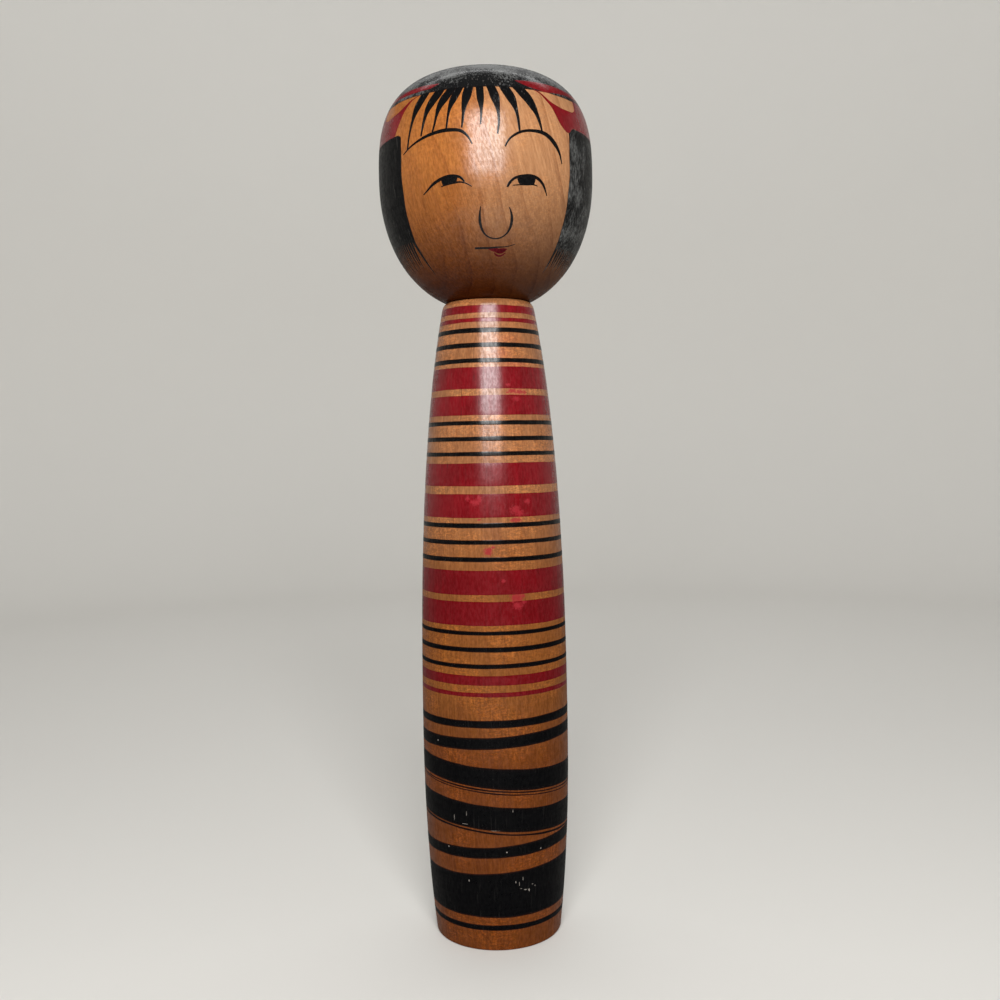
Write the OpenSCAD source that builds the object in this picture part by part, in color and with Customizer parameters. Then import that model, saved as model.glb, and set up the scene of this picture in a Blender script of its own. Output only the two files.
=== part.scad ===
// Kokeshi doll: a turned wooden body and a turned wooden head.
// The head and its tenon are one piece. The tenon turns in a socket bored in the body's top, and its
// swollen end sits in a wider chamber below the socket's mouth, so the head turns but can't lift out.
// +Z is up, the origin is the centre of the base, and the face looks along -Y.

/* [Body] */
// Height of the body, from the base to the neck joint
body_h = 269.5; // [230:0.5:310]
// Radius at the widest place of the body
belly_r = 31.3; // [28:0.1:36]
// Height of the widest place of the body
belly_z = 85.5; // [60:0.5:110]
// Radius that the outline comes to at the top
shoulder_r = 19; // [17:0.1:24]
// How late the outline draws in towards the top: more is later
shoulder_curve = 2.34; // [1.8:0.02:3]
// Radius that the outline comes to at the base
foot_r = 26.9; // [22:0.1:28]
// How late the outline draws in towards the base: more is later
foot_curve = 2.07; // [1.6:0.01:3]
// Width of the rounded rim at the top
rim_w = 1.9; // [0.5:0.1:3]
// Height of the rounded rim at the top
rim_h = 2.6; // [0.5:0.1:4]
// Radius of the rounded edge at the base
foot_round = 1; // [0.2:0.1:2]

/* [Head] */
// Radius at the widest place of the head
head_r = 45.1; // [36:0.1:52]
// Height of the widest place above the head's seat
cheek_h = 51.6; // [40:0.1:64]
// Rise of the crown above the widest place
crown_h = 42.7; // [30:0.1:56]
// How square the upper half is: 2 is an ellipse
crown_curve = 2.97; // [2:0.01:4]
// How square the lower half is: 2 is an ellipse
chin_curve = 2.16; // [1.8:0.01:3]
// Radius of the flat seat that faces the body
seat_r = 17.6; // [15:0.1:20]

/* [Neck joint] */
// Space between the head's seat and the body's top
seat_gap = 0.2; // [0.1:0.05:0.5]
// Radius of the tenon's straight part
tenon_r = 9; // [7:0.5:10]
// Length of the tenon's straight part
tenon_h = 14; // [8:0.5:20]
// How far the swollen end stands out from the tenon
swell = 0.6; // [0.3:0.1:1]
// Length of the swollen end, without its cones
swell_h = 5; // [3:0.5:8]
// Length of the cone on each side of the swollen end
swell_cone_h = 2.5; // [1:0.5:4]
// Radial space between the tenon and the socket's mouth
turn_gap = 0.06; // [0.02:0.01:0.1]
// Space round the swollen end and below it, inside the chamber
chamber_gap = 0.5; // [0.3:0.1:1]

/* [Hidden] */

WOOD = [0.80, 0.51, 0.27];
WOOD_DARK = [0.72, 0.44, 0.22];

// Steps along each stretch of an outline, and round the axis
OUTLINE_STEPS = 36;
ROUND_STEPS = 8;
$fn = 128;

swell_r = tenon_r + swell;
tip_h = tenon_h + 2 * swell_cone_h + swell_h;
socket_r = tenon_r + turn_gap;
chamber_r = swell_r + chamber_gap;
chamber_top = tenon_h - seat_gap - chamber_gap;
socket_depth = tip_h - seat_gap + chamber_gap;
head_z = body_h + seat_gap;
// Overlap that keeps a cut from ending on the face that it opens
CUT = 1;

// Evenly spaced shares from 0 to 1
function shares(steps) = [for (i = [0 : steps]) i / steps];

// Body radius at a share of the way from the belly to an end: it falls to end_r as a power of the share
function body_r(share, end_r, curve) =
    belly_r * sqrt(1 - (1 - pow(end_r / belly_r, 2)) * pow(share, curve));

function upper_r(z) = body_r((z - belly_z) / (body_h - belly_z), shoulder_r, shoulder_curve);
function lower_r(z) = body_r((belly_z - z) / belly_z, foot_r, foot_curve);

// Right half of the body's outline, from the axis at the base to the axis at the top
function body_outline() = let (
        foot_edge = lower_r(foot_round),
        rim_z = body_h - rim_h,
        rim_r = upper_r(rim_z) - rim_w
    ) concat(
        [[0, 0]],
        [for (s = shares(ROUND_STEPS)) let (a = 90 * s)
            [foot_edge - foot_round * (1 - sin(a)), foot_round * (1 - cos(a))]],
        [for (s = shares(OUTLINE_STEPS)) if (s > 0)
            let (z = foot_round + s * (belly_z - foot_round)) [lower_r(z), z]],
        [for (s = shares(OUTLINE_STEPS)) if (s > 0)
            let (z = belly_z + s * (rim_z - belly_z)) [upper_r(z), z]],
        [for (s = shares(ROUND_STEPS)) if (s > 0) let (a = 90 * s)
            [rim_r + rim_w * cos(a), rim_z + rim_h * sin(a)]],
        [[0, body_h]]
    );

// Head radius at a share of the way down from the widest place to the seat
function chin_r(share) =
    head_r * pow(1 - (1 - pow(seat_r / head_r, chin_curve)) * pow(share, chin_curve), 1 / chin_curve);

// Right half of the head's outline above its seat. The crown is a superellipse, stepped by angle so
// that its points crowd where it bends.
function head_outline() = concat(
        [[0, 0]],
        [for (s = shares(OUTLINE_STEPS)) let (down = cos(90 * s)) [chin_r(down), cheek_h * (1 - down)]],
        [for (s = shares(OUTLINE_STEPS)) if (s > 0) let (a = 90 * s)
            [head_r * pow(max(cos(a), 0), 2 / crown_curve), cheek_h + crown_h * pow(sin(a), 2 / crown_curve)]]
    );

// Body: a tall tapering turning with the socket in its top
module body() {
    color(WOOD)
    difference() {
        rotate_extrude() polygon(body_outline());
        socket();
    }
}

// Socket: a straight mouth that guides the tenon, over a wider chamber for the swollen end
module socket() {
    translate([0, 0, body_h - socket_depth])
        cylinder(r = socket_r, h = socket_depth + CUT);
    translate([0, 0, body_h - socket_depth])
        cylinder(r = chamber_r, h = socket_depth - chamber_top);
}

// Head: a squared ball with the tenon turned on its underside
module head() {
    color(WOOD_DARK)
    translate([0, 0, head_z]) {
        rotate_extrude() polygon(head_outline());
        tenon();
    }
}

// Tenon: a straight pin, then a cone out to the swollen end and a cone in to the tip
module tenon() {
    translate([0, 0, -tenon_h]) cylinder(r = tenon_r, h = tenon_h + CUT);
    rotate_extrude()
        polygon([
            [0, -tenon_h],
            [tenon_r, -tenon_h],
            [swell_r, -tenon_h - swell_cone_h],
            [swell_r, -tenon_h - swell_cone_h - swell_h],
            [tenon_r, -tip_h],
            [0, -tip_h]
        ]);
}

body();
head();
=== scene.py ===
"""A turned wooden doll with painted bands: a tall tapering body and a large head that turns on it.

The wood is two closed surfaces of revolution. Each stripe, lock of hair and brush line is a thin
closed film of colour that lies on the wood.
"""

import math

import bpy
import numpy as np
from bpy.props import FloatProperty, FloatVectorProperty, IntProperty, PointerProperty
from bpy.types import NodeSocket, Operator, Panel, PropertyGroup
from mathutils import Matrix, Vector


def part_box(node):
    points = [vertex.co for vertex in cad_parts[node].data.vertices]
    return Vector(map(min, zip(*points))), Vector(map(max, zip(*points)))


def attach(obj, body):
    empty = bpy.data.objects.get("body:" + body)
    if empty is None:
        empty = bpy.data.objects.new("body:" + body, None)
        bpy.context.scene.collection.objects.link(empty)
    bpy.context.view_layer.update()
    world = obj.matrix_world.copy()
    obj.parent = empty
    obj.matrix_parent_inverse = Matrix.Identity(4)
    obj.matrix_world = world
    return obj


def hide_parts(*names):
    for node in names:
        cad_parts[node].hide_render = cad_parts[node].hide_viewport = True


bl_info = {
    "name": "Banded turned doll",
    "version": (1, 0, 0),
    "blender": (4, 5, 0),
    "location": "View3D > Sidebar > Doll",
    "description": "Turns a wooden doll with a head that swivels, and paints its bands, hair and face",
    "category": "Add Mesh",
}

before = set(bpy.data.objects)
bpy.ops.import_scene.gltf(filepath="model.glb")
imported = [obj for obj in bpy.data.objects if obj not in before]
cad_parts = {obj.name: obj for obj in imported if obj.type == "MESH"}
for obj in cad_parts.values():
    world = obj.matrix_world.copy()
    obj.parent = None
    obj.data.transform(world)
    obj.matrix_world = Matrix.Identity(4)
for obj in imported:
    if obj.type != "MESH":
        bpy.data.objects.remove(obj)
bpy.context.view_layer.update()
BODY_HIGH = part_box("body")[1]
HEAD_LOW, HEAD_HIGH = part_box("head")
MM = 0.001
# How far in from its edge a film is thin, in millimetres: a band's edge and a brush line's.
BAND_BLEED, LINE_BLEED = 0.24, 0.07
# Steps round the axis of a band on the body and of the cap of hair.
BAND_STEPS, CAP_STEPS = 256, 288


def display(red, green, blue):
    """A colour given as 0 to 255 on a screen, as the linear values that a shader takes."""
    value = np.array([red, green, blue]) / 255
    bright = ((value + 0.055) / 1.055) ** 2.4
    return tuple(np.where(value < 0.04045, value / 12.92, bright).tolist())


def length_property(name, description, default):
    """A length in metres."""
    return FloatProperty(
        name=name, description=description, default=default, min=0, unit="LENGTH", precision=5
    )


def colour_property(name, description, *default):
    """A colour, whose default is given as 0 to 255."""
    return FloatVectorProperty(
        name=name, description=description, default=display(*default), min=0, max=1, subtype="COLOR"
    )


def number_property(name, description, default):
    """A plain number."""
    return FloatProperty(name=name, description=description, default=default)


def angle_property(name, description, default):
    """An angle, whose default is given in degrees."""
    return FloatProperty(
        name=name, description=description, default=math.radians(default), subtype="ANGLE"
    )


# ---------------------------------------------------------------- sizes and colours


class DollBody(PropertyGroup):
    """Outline and wood of the body."""

    belly_radius: length_property("Belly radius", "Radius at the widest place", BODY_HIGH.x)
    belly_height: length_property("Belly height", "Height of the widest place", 0.0855)
    height: length_property("Height", "Height of the body's top face", BODY_HIGH.z)
    shoulder_radius: length_property("Shoulder radius", "Radius at the top", 0.019)
    shoulder_curve: number_property("Shoulder curve", "How late the upper side bends in", 2.34)
    foot_radius: length_property("Foot radius", "Radius at the bottom", 0.0269)
    foot_curve: number_property("Foot curve", "How late the lower side bends in", 2.07)
    rim_width: length_property("Rim width", "How far the top edge's round reaches in", 0.0019)
    rim_height: length_property("Rim height", "How far the top edge's round reaches down", 0.0026)
    flat_radius: length_property("Flat radius", "Radius of the flat on top, inside the rim", 0.0165)
    foot_round: length_property("Foot round", "Radius of the bottom edge", 0.001)
    mouth_radius: length_property("Mouth radius", "Radius of the socket's mouth", 0.00906)
    chamber_radius: length_property("Chamber radius", "Radius of the space below it", 0.0101)
    mouth_depth: length_property("Mouth depth", "Depth of the socket's mouth", 0.0133)
    socket_depth: length_property("Socket depth", "Depth of the whole socket", 0.0243)
    segments: IntProperty(name="Segments", description="Steps round the axis", default=256)
    wood: colour_property("Wood", "Pale wood between the bands", 136, 92, 60)
    # Middle and foot wood: darker partly from the wood itself and partly as painted shade where less
    # light reaches low down.
    mid_wood: colour_property("Middle wood", "Wood at the waist, a little darker", 112, 67, 29)
    old_and_shaded_wood: colour_property("Old wood", "Wood near the foot, where hands have darkened it", 89, 46, 14)
    growth: colour_property("Growth line", "Dense wood at the end of each year", 98, 54, 26)


class DollHead(PropertyGroup):
    """Outline and wood of the head."""

    radius: length_property("Radius", "Radius at the cheeks", HEAD_HIGH.x)
    cheek_height: length_property("Cheek height", "Height of the cheeks above the seat", 0.0516)
    crown_curve: number_property("Crown curve", "How square the crown's outline is; 2 is round", 2.97)
    chin_curve: number_property("Chin curve", "How square the chin's outline is; 2 is round", 2.16)
    seat_radius: length_property("Seat radius", "Radius of the flat seat on the neck", 0.0176)
    seat_height: length_property("Seat height", "Height of the seat above the floor", 0.2697)
    tenon_radius: length_property("Tenon radius", "Radius of the neck's tenon", 0.009)
    tenon_length: length_property("Tenon length", "Length of its straight part", 0.014)
    swell_radius: length_property("Swell radius", "Radius of the tenon's swollen end", 0.0096)
    swell_taper: length_property("Swell taper", "Length of the taper at each end of it", 0.0025)
    segments: IntProperty(name="Segments", description="Steps round the axis", default=288)
    wood: colour_property("Wood", "Pale wood of the face's right side", 164, 120, 84)
    warm_wood: colour_property("Warm wood", "Redder wood of the left side", 147, 91, 43)
    # Painted shade under the chin: the darkening multiplied into the wood where the head's underside
    # lies in shade.
    chin_shade: colour_property("Age", "What age under the chin has multiplied the wood by", 97, 66, 30)
    growth: colour_property("Growth line", "Dense wood at the end of each year", 108, 58, 28)


class DollPaint(PropertyGroup):
    """Colour and thickness of the painted films."""

    lip: colour_property("Lip", "Crimson of the lip", 44, 2, 8)
    film: length_property("Film", "Thickness of a film of colour", 0.00003)
    ink: colour_property("Ink", "Black of the bands and hair", 3, 3, 4)
    # Grey of rubbed ink; on the cap it is partly painted reflection as well.
    ink_edge: colour_property("Ink edge", "Brown where the ink thins out", 40, 18, 8)
    ink_worn_and_sheen: colour_property("Worn ink", "Grey where the ink has rubbed", 150, 151, 149)
    red: colour_property("Red", "Red of the bands", 115, 5, 16)
    red_deep: colour_property("Deep red", "Red where the colour lies thick", 76, 1, 4)
    red_thin: colour_property("Thin red", "Red where the wood shows through", 178, 52, 62)
    run_red: colour_property("Run red", "Red that has run onto the wood", 132, 28, 38)
    hair_red: colour_property("Hair red", "Red of the ribbon and the leaves", 112, 10, 18)


class DollStage(PropertyGroup):
    """Floor, lights and camera."""

    floor: colour_property("Floor", "Pale floor and backdrop", 218, 216, 211)
    floor_radius: length_property("Floor radius", "Radius of the flat floor", 1.1)
    cove_radius: length_property("Cove radius", "Radius of the bend up into the backdrop", 0.5)
    wall_height: length_property("Wall height", "Height of the backdrop", 1.25)
    key_power: number_property("Key power", "Power of the key light", 16)
    key_azimuth: angle_property("Key azimuth", "Side the key stands to", 1.0)
    key_elevation: angle_property("Key elevation", "How high the key stands", 22.5)
    key_distance: length_property("Key distance", "Distance of the key light", 1.0)
    key_width: length_property("Key width", "Width of the key light", 0.6)
    key_height: length_property("Key height", "Height of the key light", 0.5)
    sky: number_property("Sky", "Strength of the even light from above", 0.1)
    wall_power: number_property("Wall power", "Power of the light on the backdrop", 7.5)
    rear_power: number_property("Rear power", "Power of the soft light behind the doll", 1.5)
    camera: FloatVectorProperty(
        name="Camera", description="Camera's place", default=(0, -0.46576, 0.2065),
        subtype="TRANSLATION", unit="LENGTH",
    )
    pitch: angle_property("Pitch", "How far it looks down", 2.579)
    roll: angle_property("Roll", "How far it leans", -1.016)
    yaw: angle_property("Yaw", "How far it looks to the right", 0.449)
    lens: number_property("Lens", "Focal length in millimetres", 38.97)


# ---------------------------------------------------------------- outlines of the two turned pieces


def body_radius(height):
    """Radius of the body's side at a height. From the belly to each end the radius squared falls
    by a power of the share of the way: r = belly * sqrt(1 - (1 - (end / belly)^2) * share^curve)."""
    b = bpy.context.scene.doll_body
    up = (height - b.belly_height) / (b.height - b.belly_height)
    down = (b.belly_height - height) / b.belly_height
    share = np.where(up > 0, np.abs(up) ** b.shoulder_curve, np.abs(down) ** b.foot_curve)
    end = np.where(up > 0, b.shoulder_radius, b.foot_radius) / b.belly_radius
    return b.belly_radius * np.sqrt(np.clip(1 - (1 - end**2) * share, 0, 1))


def head_outline(latitude):
    """Radius and height of the head's outline at a latitude in degrees about the cheeks' centre.
    The distance from the centre is that of an ellipse with a power other than two:
    d = ((cos / width)^p + (|sin| / reach)^p)^(-1/p), with one reach and power above and one below."""
    h = bpy.context.scene.doll_head
    angle = np.radians(latitude)
    c, s = np.cos(angle), np.sin(angle)
    crown = HEAD_HIGH.z - h.seat_height - h.cheek_height
    chin = h.cheek_height / (1 - (h.seat_radius / h.radius) ** h.chin_curve) ** (1 / h.chin_curve)
    reach = np.where(s > 0, crown, chin)
    power = np.where(s > 0, h.crown_curve, h.chin_curve)
    d = (np.abs(c / h.radius) ** power + np.abs(s / reach) ** power) ** (-1 / power)
    return d * c, h.seat_height + h.cheek_height + d * s


def turned(radius, height, azimuth):
    """Points at a radius, height and azimuth in degrees. Azimuth 0 is the front, -Y, and 90 is +X."""
    a = np.radians(azimuth)
    return np.stack(np.broadcast_arrays(radius * np.sin(a), -radius * np.cos(a), height), -1)


def on_body(azimuth, height, lift=0.0):
    """Points on the body at an azimuth in degrees and a height in millimetres, lifted off the wood."""
    z = height * MM
    return turned(body_radius(z) + lift, z, azimuth)


def on_head(azimuth, latitude, lift=0.0):
    """Points on the head at an azimuth and latitude in degrees, lifted off the wood."""
    radius, z = head_outline(latitude)
    angle = np.radians(latitude)
    return turned(radius + lift * np.cos(angle), z + lift * np.sin(angle), azimuth)


# ---------------------------------------------------------------- meshes


class Shape:
    """Vertices, faces and values at the vertices, gathered from several closed parts."""

    def __init__(self):
        self.points, self.faces, self.count = [], [], 0
        self.values = {}

    def add(self, points, faces, **values):
        """Adds one part; its faces count from its own first vertex."""
        self.points.append(points.reshape(-1, 3))
        self.faces += [(np.asarray(f) + self.count).tolist() for f in faces]
        for name, value in values.items():
            self.values.setdefault(name, []).append(value.ravel())
        self.count += len(self.points[-1])

    def make(self, name, body, slot, material, replaces=None):
        """Puts the parts into one object, which rides on a body."""
        mesh = bpy.data.meshes.new(name)
        faces = [face for part in self.faces for face in part]
        mesh.from_pydata(np.concatenate(self.points).tolist(), [], faces)
        mesh.shade_smooth()
        mesh.set_sharp_from_angle(angle=math.radians(50))
        for key, parts in self.values.items():
            layer = mesh.attributes.new(key, "FLOAT", "POINT")
            layer.data.foreach_set("value", np.concatenate(parts).astype(np.float32))
        mesh.materials.append(material)
        made = bpy.data.objects.new(name, mesh)
        bpy.context.scene.collection.objects.link(made)
        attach(made, body)
        if replaces:
            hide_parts(replaces)
        return made


def quads(rows, columns, wrap_rows, wrap_columns):
    """Quads of a grid of points numbered row by row. A wrapped direction joins its end to its start."""
    r = np.arange(rows if wrap_rows else rows - 1)[:, None]
    c = np.arange(columns if wrap_columns else columns - 1)[None, :]
    s, d = (r + 1) % rows, (c + 1) % columns
    return np.stack(
        [r * columns + c, r * columns + d, s * columns + d, s * columns + c], -1
    ).reshape(-1, 4)


def add_turning(shape, rings, low, high, **values):
    """A closed surface of revolution: rings is a grid of points, one row for each ring from the
    lower end of the profile to the upper, and low and high are the points on the axis that close it."""
    rows, columns = rings.shape[:2]
    c = np.arange(columns)
    d = (c + 1) % columns
    last = (rows - 1) * columns
    first_pole = np.full(columns, rows * columns)
    start = np.stack([first_pole, d, c], -1)
    end = np.stack([last + c, last + d, first_pole + 1], -1)
    points = np.concatenate([rings.reshape(-1, 3), [low, high]])
    padded = {k: np.append(v.ravel(), [v[0, 0], v[-1, 0]]) for k, v in values.items()}
    shape.add(points, [quads(rows, columns, False, True), start, end], **padded)


def add_film(shape, place, left, right, film, across=9, ring=False, bleed=BAND_BLEED):
    """A thin closed film between two edge lines on a surface. A cross-section of it is a flat lens
    whose height is film * (1 - u^8), with u from -1 at one edge to 1 at the other; below, it closes
    a little under the surface. Left and right are (n, 2) places on the surface."""
    t = (1 - np.cos(np.linspace(0, np.pi, across))) / 2
    spot = left[:, None] * (1 - t)[None, :, None] + right[:, None] * t[None, :, None]
    height = film * (1 - (2 * t - 1) ** 8)
    top = place(spot[..., 0], spot[..., 1], np.broadcast_to(height, spot.shape[:2]))
    back = spot[:, ::-1][:, :: across - 1]
    under = place(back[..., 0], back[..., 1], -2 * film)
    rings = np.concatenate([top, under], 1)
    width = np.linalg.norm(top[:, 0] - top[:, -1], axis=1)[:, None]
    inward = np.minimum(t, 1 - t)[None, :] * width / MM
    thin = np.exp(-((inward / bleed) ** 2))
    thin = np.concatenate([thin, np.ones((len(thin), 2))], 1)
    rows, columns = rings.shape[:2]
    faces = [quads(rows, columns, ring, True)]
    if not ring:
        ends = np.arange(columns)
        faces += [ends[None, ::-1], (rows - 1) * columns + ends[None, :]]
    shape.add(rings, faces, thin=thin)


def smooth_path(points, count):
    """A smooth curve through the given points: between two of them it is a cubic, and its slope at
    a point comes from the points on both sides. Points may carry a width, which is carried along."""
    p = np.asarray(points, float)
    along = np.append(0, np.cumsum(np.linalg.norm(np.diff(p[:, :2], axis=0), axis=1)))
    slope = np.gradient(p, along, axis=0)
    s = np.linspace(0, along[-1], count)
    i = np.clip(np.searchsorted(along, s, side="right") - 1, 0, len(along) - 2)
    h = (along[i + 1] - along[i])[:, None]
    t = (s - along[i])[:, None] / h
    return (
        (2 * t**3 - 3 * t**2 + 1) * p[i]
        + (t**3 - 2 * t**2 + t) * h * slope[i]
        + (3 * t**2 - 2 * t**3) * p[i + 1]
        + (t**3 - t**2) * h * slope[i + 1]
    )


def stroke_edges(place, path):
    """The two edge lines of a brush stroke: half its width in millimetres to each side of its path,
    at right angles to it on the surface. The path is (n, 3): place on the surface and width."""
    u, v, width = path.T
    step = 0.01
    per_u = np.linalg.norm(place(u + step, v) - place(u - step, v), axis=-1) / (2 * step) / MM
    per_v = np.linalg.norm(place(u, v + step) - place(u, v - step), axis=-1) / (2 * step) / MM
    along = np.stack([np.gradient(u) * per_u, np.gradient(v) * per_v], -1)
    along /= np.linalg.norm(along, axis=1, keepdims=True)
    side = np.stack([-along[:, 1] / per_u, along[:, 0] / per_v], -1) * width[:, None] / 2
    centre = np.stack([u, v], -1)
    return centre + side, centre - side


def add_stroke(shape, place, points, film, count=48, across=9, waver=0.0, seed=0):
    """A brush stroke along a smooth path of (u, v, width in millimetres)."""
    path = smooth_path(points, count)
    s = np.linspace(0, 1, count)
    phase = seed * 1.7
    path[:, 2] *= 1 + waver * (np.sin(9 * s + phase) + np.sin(23 * s + 2 * phase) / 2)
    path[:, 2] = np.maximum(path[:, 2], 0.05)
    add_film(shape, place, *stroke_edges(place, path), film, across, bleed=LINE_BLEED)


# ---------------------------------------------------------------- shader building


def add_node(tree, kind, sockets=(), **settings):
    """One node, with its settings, and for each input socket a value or the output wired to it."""
    new = tree.nodes.new(kind)
    place = len(tree.nodes)
    new.location = (190 * (place % 9), -240 * (place // 9))
    for name, value in settings.items():
        setattr(new, name, value)
    for name, value in dict(sockets).items():
        if isinstance(value, NodeSocket):
            tree.links.new(value, new.inputs[name])
        else:
            new.inputs[name].default_value = value
    return new


def calc(tree, operation, *values):
    """A Math node's result."""
    return add_node(tree, "ShaderNodeMath", enumerate(values), operation=operation).outputs[0]


def times(tree, first, second):
    """The product of two values."""
    return calc(tree, "MULTIPLY", first, second)


def plus(tree, first, second):
    """The sum of two values."""
    return calc(tree, "ADD", first, second)


def minus(tree, first, second):
    """The first value less the second."""
    return calc(tree, "SUBTRACT", first, second)


def length_of(tree, vector):
    """The length of a vector."""
    return add_node(tree, "ShaderNodeVectorMath", {0: vector}, operation="LENGTH").outputs["Value"]


def parts_of(tree, place):
    """X, Y and Z of a place."""
    return add_node(tree, "ShaderNodeSeparateXYZ", {0: place}).outputs


def stretch(tree, vector, scale, location=(0, 0, 0), rotation=(0, 0, 0)):
    """Coordinates scaled, turned and moved by a Mapping node."""
    sockets = {"Vector": vector, "Scale": scale, "Location": location, "Rotation": rotation}
    return add_node(tree, "ShaderNodeMapping", sockets).outputs[0]


def noise(tree, vector, scale, detail=2.0, rough=0.5, swirl=0.0):
    """Soft noise from 0 to 1."""
    sockets = {"Vector": vector, "Scale": scale, "Detail": detail, "Roughness": rough}
    sockets["Distortion"] = swirl
    return add_node(tree, "ShaderNodeTexNoise", sockets).outputs[0]


def between(tree, value, low, high, to_low=0.0, to_high=1.0):
    """A value's way from low to high, made smooth, as to_low to to_high."""
    sockets = {"Value": value, "From Min": low, "From Max": high, "To Min": to_low, "To Max": to_high}
    return add_node(
        tree, "ShaderNodeMapRange", sockets, interpolation_type="SMOOTHSTEP"
    ).outputs[0]


def mix(tree, share, first, second, blend="MIX"):
    """Two colours mixed."""
    first, second = (
        (*c, 1) if not isinstance(c, NodeSocket) and len(c) == 3 else c for c in (first, second)
    )
    return add_node(
        tree, "ShaderNodeMix", {0: share, 6: first, 7: second}, data_type="RGBA", blend_type=blend
    ).outputs[2]


def laid(tree, colour, mask, amount, over, blend="MIX"):
    """A colour with another laid over it where the mask is, at most by that amount."""
    return mix(tree, times(tree, mask, amount), colour, over, blend)


def new_group(name, vectors, numbers, outputs):
    """An empty node group with inputs for vectors and for numbers, each number with its default,
    and with outputs for numbers. Gives the group and its inputs."""
    tree = bpy.data.node_groups.new(name, "ShaderNodeTree")
    for label in vectors:
        tree.interface.new_socket(label, in_out="INPUT", socket_type="NodeSocketVector")
    for label, default in numbers.items():
        made = tree.interface.new_socket(label, in_out="INPUT", socket_type="NodeSocketFloat")
        made.default_value = default
    for label in outputs:
        tree.interface.new_socket(label, in_out="OUTPUT", socket_type="NodeSocketFloat")
    return tree, tree.nodes.new("NodeGroupInput").outputs


def use_group(tree, name, sockets):
    """A group placed in a material with its own values; returns its outputs."""
    group = bpy.data.node_groups[name]
    return add_node(tree, "ShaderNodeGroup", sockets, node_tree=group).outputs


def build_wood_group():
    """Growth lines about the Z axis of the coordinates given, broad streaks and fine fibre that run
    along it, pale and dark grains, and short rays across it. Growth lines: the distance from the
    axis, bent by soft noise, over the spacing; what is left after whole rings rises slowly and
    drops at once, as early and late wood do."""
    outputs = ["Rings", "Streaks", "Fibre", "Grains", "Rays", "Cloud"]
    tree, given = new_group("wood figure", ["Place"], {"Spacing": 0.002, "Bend": 1.0}, outputs)
    place = given["Place"]
    distance = length_of(tree, stretch(tree, place, (1, 1, 0)))
    slow = noise(tree, stretch(tree, place, (1, 1, 0.35)), 38, 2)
    bent = times(tree, minus(tree, slow, 0.5), given["Bend"])
    count = plus(tree, calc(tree, "DIVIDE", distance, given["Spacing"]), bent)
    part = calc(tree, "FRACT", count)
    rise = calc(tree, "POWER", part, 5.0)
    drop = between(tree, part, 0.94, 1.0, 1.0, 0.0)
    uneven = noise(tree, stretch(tree, place, (1, 1, 0.2)), 60, 2)
    strength = between(tree, uneven, 0.35, 0.65, 0.25, 1.0)
    streaks = noise(tree, stretch(tree, place, (1, 1, 0.05)), 420, 3, 0.6)
    fibre = noise(tree, stretch(tree, place, (1, 1, 0.07)), 1700, 3, 0.65)
    grains = noise(tree, stretch(tree, place, (1, 1, 0.38)), 1250, 2, 0.6)
    rays = noise(tree, stretch(tree, place, (0.75, 0.75, 1.7)), 900, 2, 0.6, swirl=1.0)
    patch = noise(tree, place, 48, 1)
    cloud = noise(tree, place, 55, 3, 0.55)
    sockets = {
        "Rings": times(tree, times(tree, rise, drop), strength),
        "Streaks": between(tree, streaks, 0.3, 0.7),
        "Fibre": between(tree, fibre, 0.3, 0.7),
        "Grains": between(tree, grains, 0.36, 0.64),
        "Rays": times(tree, between(tree, rays, 0.46, 0.62), between(tree, patch, 0.4, 0.6)),
        "Cloud": between(tree, cloud, 0.3, 0.7),
    }
    add_node(tree, "NodeGroupOutput", sockets)


def build_lathe_group():
    """Fine rings left by the turning tool: noise that changes with height alone, in two sizes."""
    tree, given = new_group("tool lines", ["Place"], {}, ["Lines"])
    upright = stretch(tree, given["Place"], (0.01, 0.01, 1))
    coarse = noise(tree, upright, 700, 2)
    fine = noise(tree, upright, 3200, 2)
    lines = plus(tree, times(tree, coarse, 0.6), times(tree, fine, 0.4))
    add_node(tree, "NodeGroupOutput", {"Lines": lines})


def build_wear_group():
    """Where a painted film has rubbed thin, in soft patches with a ragged fine edge, and fine
    scratches that cross each other."""
    numbers = {"Amount": 0.3, "Softness": 0.2}
    tree, given = new_group("rubbed film", ["Place"], numbers, ["Rubbed", "Scratches"])
    place, amount = given["Place"], given["Amount"]
    patch = noise(tree, place, 90, 3, 0.6)
    grit = noise(tree, stretch(tree, place, (1, 1, 0.3)), 1500, 3, 0.7)
    both = plus(tree, times(tree, patch, 0.5), times(tree, grit, 0.5))
    edge = minus(tree, 0.76, times(tree, amount, 0.42))
    rubbed = between(tree, both, edge, plus(tree, edge, given["Softness"]))
    marks = []
    for turn, lean in ((0.5, 0.3), (-0.9, -0.2), (1.3, 0.9)):
        turned_place = stretch(tree, place, (1, 1, 0.06), rotation=(turn, lean, turn))
        marks.append(between(tree, noise(tree, turned_place, 1000, 1), 0.69, 0.76))
    scratches = calc(tree, "MAXIMUM", calc(tree, "MAXIMUM", marks[0], marks[1]), marks[2])
    add_node(tree, "NodeGroupOutput", {"Rubbed": rubbed, "Scratches": scratches})


def build_chip_group():
    """One small ragged chip: the distance from its centre in units of its size, with noise added."""
    vectors = ["Place", "Centre", "Turn", "Size"]
    tree, given = new_group("chip", vectors, {"Soft": 0.15}, ["Mask"])
    sockets = {
        "Vector": given["Place"],
        "Location": given["Centre"],
        "Rotation": given["Turn"],
        "Scale": given["Size"],
    }
    local = add_node(tree, "ShaderNodeMapping", sockets, vector_type="TEXTURE").outputs[0]
    away = length_of(tree, local)
    rag = minus(tree, noise(tree, given["Place"], 1400, 3, 0.6), 0.5)
    away = plus(tree, away, times(tree, rag, 2.4))
    edge = 0.95
    outer, inner = plus(tree, edge, given["Soft"]), minus(tree, edge, given["Soft"])
    add_node(tree, "NodeGroupOutput", {"Mask": between(tree, away, outer, inner)})


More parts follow.
